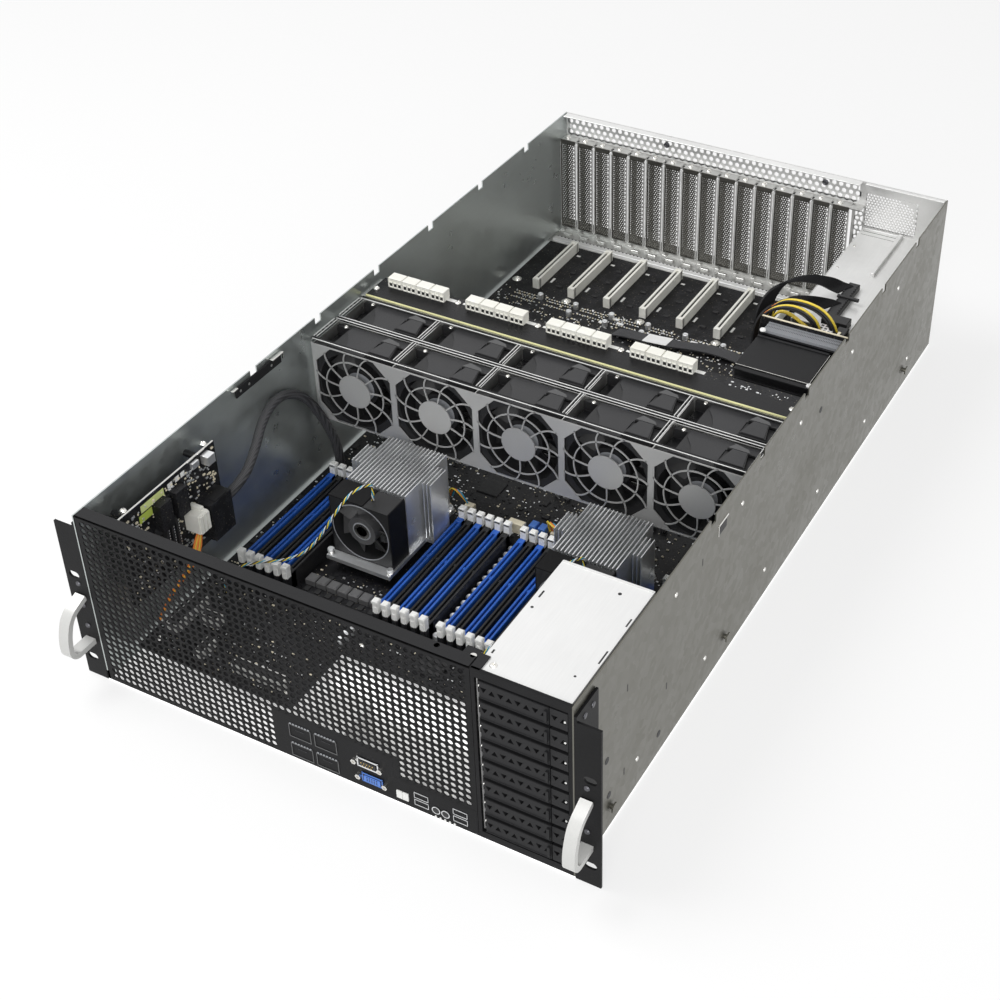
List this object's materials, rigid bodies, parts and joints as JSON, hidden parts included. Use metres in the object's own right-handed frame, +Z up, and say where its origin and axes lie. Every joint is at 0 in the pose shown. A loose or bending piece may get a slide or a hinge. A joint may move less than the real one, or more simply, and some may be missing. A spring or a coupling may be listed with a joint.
{
  "type": "rack server",
  "caption": "Four-unit graphics rack server, lid off: drive trays at the front right, fan wall across the middle, coolers and memory in front of it, card slots and supplies behind.",
  "frame": {"origin": "centre of the underside of the case body", "axes": "+Y along the case towards its rear, -Y is the front with the handles, +Z up, +X to the right seen from the front"},
  "size_m": [0.4826, 0.8285, 0.175],
  "materials": {
    "galvanised_steel": "zinc-coated sheet, satin, faint blotches",
    "bright_steel": "bright plated sheet, satin",
    "black_steel": "satin black powder coat",
    "silver_aluminium": "satin clear anodised",
    "fin_aluminium": "bright fins, satin base",
    "grey_steel": "light grey satin",
    "green_board": "solder mask, satin",
    "black_board": "black solder mask, satin",
    "port_shells": "plated connector shells",
    "blue_black_plastic": "moulded, fine grain",
    "cream_plastic": "moulded, fine grain",
    "black_plastic": "moulded, satin",
    "charcoal_plastic": "moulded, satin",
    "grey_plastic": "moulded, satin",
    "lead_sheath": "braided sleeve and smooth insulation"
  },
  "bodies": {
    "chassis": {"base_pan": "galvanised_steel", "left_wall": "galvanised_steel", "right_wall": "galvanised_steel", "rear_panel": "galvanised_steel", "card_rails": "galvanised_steel", "slot_covers": "bright_steel", "front_plate": "black_steel", "drive_bezel": "black_steel", "drive_cage": "bright_steel", "drive_backplane": "green_board", "rack_ears": "black_steel", "ear_handles": "silver_aluminium", "port_board": "port_shells", "side_board": "black_board", "main_board": "black_board", "memory_sockets": "blue_black_plastic", "cooler_sinks": "fin_aluminium", "cooler_brackets": "black_steel", "cooler_fan_frames": "black_plastic", "fan_guard": "grey_steel", "fan_wall": "galvanised_steel", "fan_frames": "black_plastic", "power_board": "black_board", "power_plugs": "cream_plastic", "card_board": "black_board", "card_slots": "cream_plastic", "supply_cage": "galvanised_steel", "supply_units": "galvanised_steel", "supply_board": "black_board", "supply_socket": "cream_plastic", "rib_bar": "grey_plastic", "supply_block": "black_plastic", "leads": "lead_sheath"},
    "tray_1": {"drive_tray_1": "charcoal_plastic"},
    "lever_1": {"tray_lever_1": "charcoal_plastic"},
    "tray_2": {"drive_tray_2": "charcoal_plastic"},
    "lever_2": {"tray_lever_2": "charcoal_plastic"},
    "tray_3": {"drive_tray_3": "charcoal_plastic"},
    "lever_3": {"tray_lever_3": "charcoal_plastic"},
    "tray_4": {"drive_tray_4": "charcoal_plastic"},
    "lever_4": {"tray_lever_4": "charcoal_plastic"},
    "tray_5": {"drive_tray_5": "charcoal_plastic"},
    "lever_5": {"tray_lever_5": "charcoal_plastic"},
    "tray_6": {"drive_tray_6": "charcoal_plastic"},
    "lever_6": {"tray_lever_6": "charcoal_plastic"},
    "tray_7": {"drive_tray_7": "charcoal_plastic"},
    "lever_7": {"tray_lever_7": "charcoal_plastic"},
    "tray_8": {"drive_tray_8": "charcoal_plastic"},
    "lever_8": {"tray_lever_8": "charcoal_plastic"},
    "fan_pair_1": {"fan_rotors_1": "black_plastic"},
    "fan_pair_2": {"fan_rotors_2": "black_plastic"},
    "fan_pair_3": {"fan_rotors_3": "black_plastic"},
    "fan_pair_4": {"fan_rotors_4": "black_plastic"},
    "fan_pair_5": {"fan_rotors_5": "black_plastic"},
    "cooler_spinner_1": {"cooler_rotor_1": "black_plastic"},
    "cooler_spinner_2": {"cooler_rotor_2": "black_plastic"},
    "front_latches": {"memory_latches_front": "cream_plastic"},
    "rear_latches": {"memory_latches_rear": "cream_plastic"},
    "power_key": {"power_button": "black_plastic"},
    "reset_key": {"reset_button": "black_plastic"}
  },
  "joints": [
    {"name": "tray_1_slide", "type": "slide", "parent": "chassis", "child": "tray_1", "axis": [0, -1, 0], "range_m": [0, 0.105]},
    {"name": "lever_1_hinge", "type": "hinge", "parent": "tray_1", "child": "lever_1", "pos_m": [0.14595, -0.39825, 0.018], "axis": [0, 0, -1], "range_deg": [0, 70]},
    {"name": "tray_2_slide", "type": "slide", "parent": "chassis", "child": "tray_2", "axis": [0, -1, 0], "range_m": [0, 0.105]},
    {"name": "lever_2_hinge", "type": "hinge", "parent": "tray_2", "child": "lever_2", "pos_m": [0.14595, -0.39825, 0.038], "axis": [0, 0, -1], "range_deg": [0, 70]},
    {"name": "tray_3_slide", "type": "slide", "parent": "chassis", "child": "tray_3", "axis": [0, -1, 0], "range_m": [0, 0.105]},
    {"name": "lever_3_hinge", "type": "hinge", "parent": "tray_3", "child": "lever_3", "pos_m": [0.14595, -0.39825, 0.058], "axis": [0, 0, -1], "range_deg": [0, 70]},
    {"name": "tray_4_slide", "type": "slide", "parent": "chassis", "child": "tray_4", "axis": [0, -1, 0], "range_m": [0, 0.105]},
    {"name": "lever_4_hinge", "type": "hinge", "parent": "tray_4", "child": "lever_4", "pos_m": [0.14595, -0.39825, 0.078], "axis": [0, 0, -1], "range_deg": [0, 70]},
    {"name": "tray_5_slide", "type": "slide", "parent": "chassis", "child": "tray_5", "axis": [0, -1, 0], "range_m": [0, 0.105]},
    {"name": "lever_5_hinge", "type": "hinge", "parent": "tray_5", "child": "lever_5", "pos_m": [0.14595, -0.39825, 0.098], "axis": [0, 0, -1], "range_deg": [0, 70]},
    {"name": "tray_6_slide", "type": "slide", "parent": "chassis", "child": "tray_6", "axis": [0, -1, 0], "range_m": [0, 0.105]},
    {"name": "lever_6_hinge", "type": "hinge", "parent": "tray_6", "child": "lever_6", "pos_m": [0.14595, -0.39825, 0.118], "axis": [0, 0, -1], "range_deg": [0, 70]},
    {"name": "tray_7_slide", "type": "slide", "parent": "chassis", "child": "tray_7", "axis": [0, -1, 0], "range_m": [0, 0.105]},
    {"name": "lever_7_hinge", "type": "hinge", "parent": "tray_7", "child": "lever_7", "pos_m": [0.14595, -0.39825, 0.138], "axis": [0, 0, -1], "range_deg": [0, 70]},
    {"name": "tray_8_slide", "type": "slide", "parent": "chassis", "child": "tray_8", "axis": [0, -1, 0], "range_m": [0, 0.105]},
    {"name": "lever_8_hinge", "type": "hinge", "parent": "tray_8", "child": "lever_8", "pos_m": [0.14595, -0.39825, 0.158], "axis": [0, 0, -1], "range_deg": [0, 70]},
    {"name": "fan_1_spin", "type": "hinge", "parent": "chassis", "child": "fan_pair_1", "pos_m": [-0.174, -0.048, 0.114], "axis": [0, 1, 0], "continuous": true},
    {"name": "fan_2_spin", "type": "hinge", "parent": "chassis", "child": "fan_pair_2", "pos_m": [-0.088, -0.048, 0.114], "axis": [0, 1, 0], "continuous": true},
    {"name": "fan_3_spin", "type": "hinge", "parent": "chassis", "child": "fan_pair_3", "pos_m": [-0.002, -0.048, 0.114], "axis": [0, 1, 0], "continuous": true},
    {"name": "fan_4_spin", "type": "hinge", "parent": "chassis", "child": "fan_pair_4", "pos_m": [0.084, -0.048, 0.114], "axis": [0, 1, 0], "continuous": true},
    {"name": "fan_5_spin", "type": "hinge", "parent": "chassis", "child": "fan_pair_5", "pos_m": [0.17, -0.048, 0.114], "axis": [0, 1, 0], "continuous": true},
    {"name": "cooler_1_spin", "type": "hinge", "parent": "chassis", "child": "cooler_spinner_1", "pos_m": [-0.0975, -0.19, 0.059], "axis": [0, 1, 0], "continuous": true},
    {"name": "cooler_2_spin", "type": "hinge", "parent": "chassis", "child": "cooler_spinner_2", "pos_m": [0.1075, -0.19, 0.059], "axis": [0, 1, 0], "continuous": true},
    {"name": "front_latch_tilt", "type": "hinge", "parent": "chassis", "child": "front_latches", "pos_m": [0.005, -0.2507, 0.0177], "axis": [1, 0, 0], "range_deg": [0, 25]},
    {"name": "rear_latch_tilt", "type": "hinge", "parent": "chassis", "child": "rear_latches", "pos_m": [0.005, -0.1113, 0.0177], "axis": [-1, 0, 0], "range_deg": [0, 25]},
    {"name": "power_key_press", "type": "slide", "parent": "chassis", "child": "power_key", "axis": [0, 1, 0], "range_m": [0, 0.0008], "stiffness_N_per_m": 600},
    {"name": "reset_key_press", "type": "slide", "parent": "chassis", "child": "reset_key", "axis": [0, 1, 0], "range_m": [0, 0.0008], "stiffness_N_per_m": 600}
  ]
}
